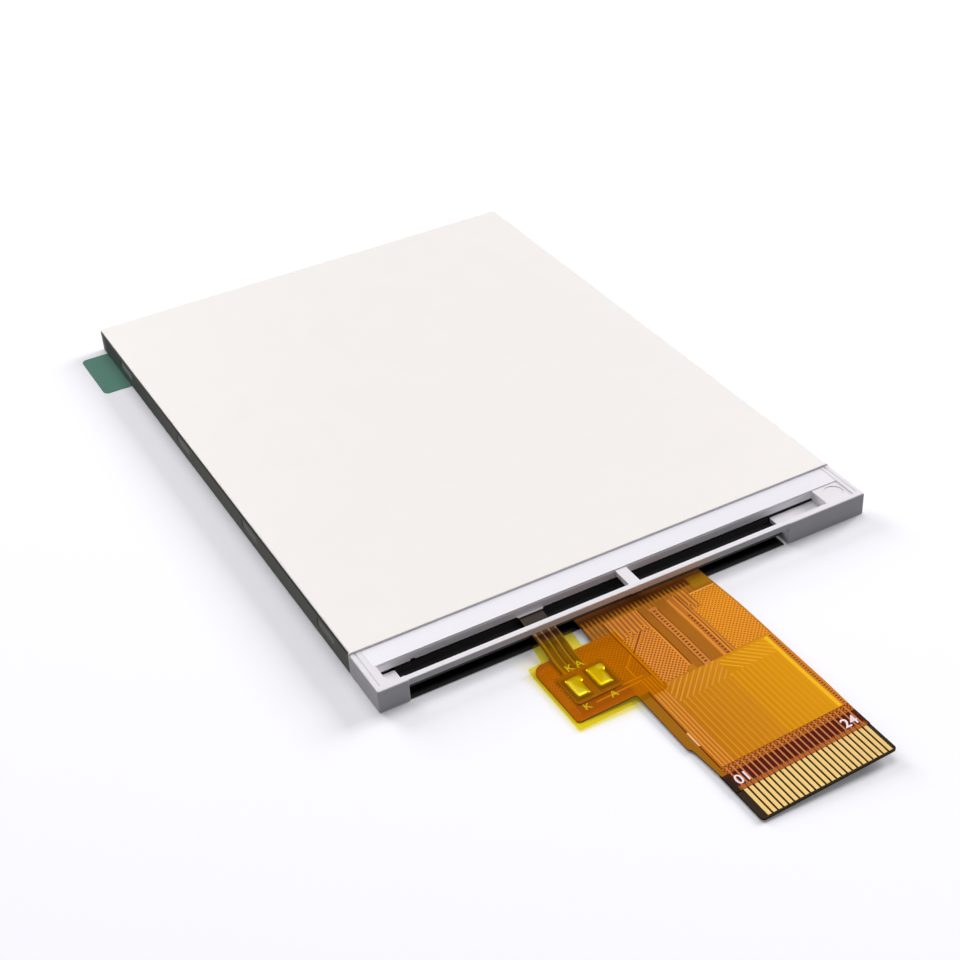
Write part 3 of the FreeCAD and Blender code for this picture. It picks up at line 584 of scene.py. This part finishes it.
# The tail's field: two fans of tracks that turn into even lines, and its two edges.
left_fan = both_of(area(-4.0, 1.3, -12.3, -9.95, 0.05), rows_of(falling, 0.62, 6.6, 0.2))
left_fan = both_of(left_fan, sum_of(tree, "GREATER_THAN", falling, 6.4))
right_fan = both_of(area(1.3, 6.1, -12.0, -10.2, 0.05), rows_of(rising, 0.62, -9.3, 0.24))
right_fan = both_of(right_fan, sum_of(tree, "GREATER_THAN", rising, -9.4))
left_lines = both_of(area(-5.25, -4.0, -20.1, -8.5), rows_of(x, 0.32, -5.13, 0.14))
lay(left_fan, plain(230, 152, 44), 1.0)
lay(faint(right_fan, 0.7), plain(248, 178, 44))
lay(left_lines, plain(232, 148, 66), 1.0)
lay(both_of(area(-4.0, 1.3, -20.1, -12.3), rows_of(x, 0.5, -3.6, 0.18)), plain(222, 142, 34), 0.8)
lay(both_of(area(1.3, 6.0, -20.1, -12.0), rows_of(x, 0.5, 1.4, 0.20)), plain(232, 156, 20))
lay(area(-5.50, -5.34, -20.9, -10.0), plain(116, 48, 8))
lay(area(-5.46, -5.30, -17.2, -15.5), plain(250, 196, 136))
lay(area(6.08, 6.42, -20.0, -10.1, 0.08), plain(255, 194, 32))
lay(area(6.46, 7.0, -20.0, -10.1, 0.08), plain(214, 130, 40))
lay(both_of(area(6.6, 6.8, -20.5, -10.0), rows_of(y, 0.3, 0.0, 0.14)), dark_brown)

# The strip of fine lattice and the dark band that the contacts' necks cross.
strip = area(-5.45, 6.95, -20.85, -20.05)
fine_strip = both_of(strip, lattice(0.36, 0.13))
necks = both_of(area(-5.4, 6.8, -22.6, -20.2), rows_of(x, 0.5, -5.1, 0.14))
lay(strip, plain(206, 118, 24))
lay(fine_strip, plain(128, 56, 14))
lay(area(-6.5, 7.3, -22.6, -20.88), plain(84, 22, 6))
lay(necks, plain(212, 130, 80), 1.0)
lay(area(-6.5, 7.3, -23.0, -22.42, 0.1), plain(192, 110, 48))
lay(both_of(area(-5.4, 6.8, -23.0, -22.3), rows_of(x, 0.5, -4.85, 0.12)), plain(132, 62, 22))
lay(area(-7.0, -5.45, -23.0, -21.1, 0.12), plain(44, 32, 16))
lay(area(6.72, 7.4, -23.0, -20.95, 0.1), plain(70, 34, 12))

tree.links.new(look["colour"], surface.inputs["Base Color"])
bump = tree.nodes.new("ShaderNodeBump")
bump.inputs["Strength"].default_value = film_relief
bump.inputs["Distance"].default_value = film_relief_depth
tree.links.new(look["relief"], bump.inputs["Height"])
tree.links.new(bump.outputs["Normal"], surface.inputs["Normal"])
dress("flex_coverlay", coverlay)


# ---------------------------------------------------------------- lamp lead
# A narrow flexible strip from the lamps, with dark gaps between its conductors. It hangs
# out of the slot, and its head is soldered to the circuit's lobe by two bright joints.

pad_base = plain(176, 104, 16)
pad_brown = plain(136, 76, 10)
gap_brown = plain(60, 28, 8)

lead_film = finish("lead_film", plain(136, 88, 18), 0.32, strength=0.12, sheen=0.2)
tree = lead_film.node_tree
surface = tree.nodes["Principled BSDF"]
x, y = in_millimetres(lead_film)
colour = surface.inputs["Base Color"].links[0].from_socket
lead_rows = [
    # each mask and its tone, from the lowest layer up
    (area(-11.2, -6.2, -8.3, -4.2, 0.2), pad_base),
    # painted shade, deepening towards the frame's bar
    (area(-10.2, -7.4, -1.4, 5.0, 0.5), plain(84, 52, 14)),
    (rows_of(x, 0.68, -9.22, 0.20), plain(196, 136, 70)),
    (area(-11.2, -6.2, -8.3, -4.5, 0.2), pad_base),
    (area(-9.18, -9.06, -4.2, 5.0), gap_brown),
    (area(-8.48, -8.36, -4.2, 5.0), gap_brown),
    # painted shade where the lead runs inside the slot
    (area(-10.2, -7.4, 0.7, 5.0, 0.4), plain(48, 30, 12)),
    (area(-10.8, -9.2, -7.8, -4.9, 0.15), pad_brown),
    (area(-8.6, -6.7, -7.8, -4.8, 0.15), pad_brown),
]
for mask, tone in lead_rows:
    colour = blend_colours(tree, mask, colour, tone)
tree.links.new(colour, surface.inputs["Base Color"])
dress("led_flex", lead_film)


# ---------------------------------------------------------------- solder joints
# Two flat domed drops of bright solder on the pads of the lead's head. Each has a broad
# head that runs over to the right and a stem that ends bluntly towards the tail.

solder_rows = [
    # the stem's left and right, the head's right, the head's top and the stem's foot
    (-0.01062, -0.00928, -0.00900, -0.00508, -0.00758),
    (-0.00846, -0.00702, -0.00672, -0.00490, -0.00752),
]
solder_rise = 0.00017
solder_head = 0.0009
solder_notch = 0.0002
solder_round = 0.95
melt_grain = 0.00004
relax_rounds = 150
# the slope of the lead's head, and its height at x = 0, were it that wide
lean_across = 0.0489
head_level = 0.000882

drops = []
for left, right, head_right, top, foot in solder_rows:
    stem = (left, right, foot, top)
    head = (left + solder_notch, head_right, top - solder_head, top)
    for x0, x1, y0, y1 in (stem, head):
        bpy.ops.object.select_all(action="DESELECT")
        middle = ((x0 + x1) / 2, (y0 + y1) / 2 + near_edge, 0)
        bpy.ops.mesh.primitive_cube_add(size=1.0, location=middle)
        drop = bpy.context.object
        drop.scale = (x1 - x0, y1 - y0, solder_rise * 2)
        bpy.ops.object.transform_apply(location=False, rotation=False, scale=True)
        bpy.ops.object.mode_set(mode="EDIT")
        bpy.ops.mesh.select_all(action="SELECT")
        bpy.ops.mesh.bevel(offset=solder_rise * solder_round, segments=5, affect="EDGES")
        bpy.ops.object.mode_set(mode="OBJECT")
        drops.append(drop)
bpy.ops.object.select_all(action="DESELECT")
for drop in drops:
    drop.select_set(True)
bpy.context.view_layer.objects.active = drops[0]
bpy.ops.object.join()
solder_drops = bpy.context.object
solder_drops.name = "solder_drops"
bpy.ops.object.transform_apply(location=True, rotation=True, scale=True)
melt = solder_drops.modifiers.new("melt", "REMESH")
melt.mode = "VOXEL"
melt.voxel_size = melt_grain
bpy.ops.object.modifier_apply(modifier=melt.name)
relax = solder_drops.modifiers.new("relax", "SMOOTH")
relax.factor = 0.5
relax.iterations = relax_rounds
bpy.ops.object.modifier_apply(modifier=relax.name)
solder_drops.rotation_euler.y = -math.atan(lean_across)
solder_drops.location.z = head_level
bpy.ops.object.transform_apply(location=True, rotation=True, scale=True)
bpy.ops.object.shade_smooth()
solder = finish("solder", plain(238, 222, 150), 0.25, metallic=0.6, scale=450.0, strength=0.04)
solder_drops.data.materials.append(solder)
dress("solder_joints", solder)
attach(solder_drops, "root")
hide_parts("solder_joints")


# ---------------------------------------------------------------- printed marks
# White ink on the film: the numbers of the first and last contact, and the two signs
# of the lamps' poles, once on the lead's head and once below it on the lobe.

mark_rows = [
    # text, its middle, the film's height there, its lean in x and y, the letters' size
    ("01", -0.00460, -0.02186, 0.000447, 0.0561, -0.0056, 0.00140),
    ("24", 0.00570, -0.02182, 0.001025, 0.0564, -0.0063, 0.00140),
    ("K", -0.00927, -0.00400, 0.000408, 0.0445, -0.0027, 0.00108),
    ("A", -0.00833, -0.00400, 0.000452, 0.0454, -0.0066, 0.00108),
    ("K", -0.01035, -0.00856, 0.000230, 0.0500, 0.0128, 0.00100),
    ("A", -0.00780, -0.00856, 0.000357, 0.0496, 0.0129, 0.00100),
]
ink_thickness = 0.000003
stroke_spread = 0.012
marks = []
for text, middle_x, middle_y, height, lean_x, lean_y, size in mark_rows:
    bpy.ops.object.select_all(action="DESELECT")
    bpy.ops.object.text_add(location=(0, 0, 0))
    mark = bpy.context.object
    mark.data.body = text
    mark.data.size = size
    mark.data.align_x = "CENTER"
    mark.data.align_y = "CENTER"
    mark.data.extrude = ink_thickness
    mark.data.offset = size * stroke_spread
    mark.data.resolution_u = 4
    bpy.ops.object.convert(target="MESH")
    mark.location = (middle_x, middle_y + near_edge, height)
    mark.rotation_euler = (math.atan(lean_y), -math.atan(lean_x), 0)
    marks.append(mark)
bpy.ops.object.select_all(action="DESELECT")
for mark in marks:
    mark.select_set(True)
bpy.context.view_layer.objects.active = marks[0]
bpy.ops.object.join()
printed_marks = bpy.context.object
printed_marks.name = "printed_marks"
bpy.ops.object.transform_apply(location=True, rotation=True, scale=True)
printed_marks.data.materials.append(finish("white_ink", plain(246, 234, 240), 0.5, strength=0.1))
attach(printed_marks, "root")


# ---------------------------------------------------------------- clear tape
# A clear yellow tape, stuck over the lead's head and its solder joints. It is a little
# larger than the lobe, so its rim lies over the table, where it looks lemon yellow.

tape_stain = plain(251, 244, 142)
tape_gloss_colour = plain(236, 190, 30)
tape_roughness = 0.12
gloss_growth, gloss_most, gloss_least = 4.0, 0.6, 0.03
crease_scale, crease_strength, crease_depth = 600.0, 0.4, 0.00008

clear_tape = bpy.data.materials.new("clear_tape")
clear_tape.use_nodes = True
tree = clear_tape.node_tree
surface = tree.nodes["Principled BSDF"]
surface.inputs["Base Color"].default_value = tape_gloss_colour
surface.inputs["Roughness"].default_value = tape_roughness
through = tree.nodes.new("ShaderNodeBsdfTransparent")
through.inputs["Color"].default_value = tape_stain
slant = tree.nodes.new("ShaderNodeLayerWeight").outputs["Facing"]
share = sum_of(tree, "POWER", slant, gloss_growth)
share = sum_of(tree, "MULTIPLY_ADD", share, gloss_most, gloss_least)
mixed = tree.nodes.new("ShaderNodeMixShader")
tree.links.new(share, mixed.inputs[0])
tree.links.new(through.outputs[0], mixed.inputs[1])
tree.links.new(surface.outputs[0], mixed.inputs[2])
tree.links.new(mixed.outputs[0], tree.nodes["Material Output"].inputs["Surface"])
place = tree.nodes.new("ShaderNodeTexCoord").outputs["Object"]
creases = tree.nodes.new("ShaderNodeTexNoise")
creases.inputs["Scale"].default_value = crease_scale
creases.inputs["Detail"].default_value = 3.0
tree.links.new(place, creases.inputs["Vector"])
bump = tree.nodes.new("ShaderNodeBump")
bump.inputs["Strength"].default_value = crease_strength
bump.inputs["Distance"].default_value = crease_depth
tree.links.new(creases.outputs["Fac"], bump.inputs["Height"])
tree.links.new(bump.outputs["Normal"], surface.inputs["Normal"])
dress("clear_tape", clear_tape)


# ---------------------------------------------------------------- pull tab
# A thin tab of green plastic, stuck to the protective film on the front. The film is
# pulled off by it once the module is built in.

green_tab = finish("green_tab", plain(86, 138, 122), 0.5, strength=0.08, relief=0.2, sheen=0.2)
dress("pull_tab", green_tab)
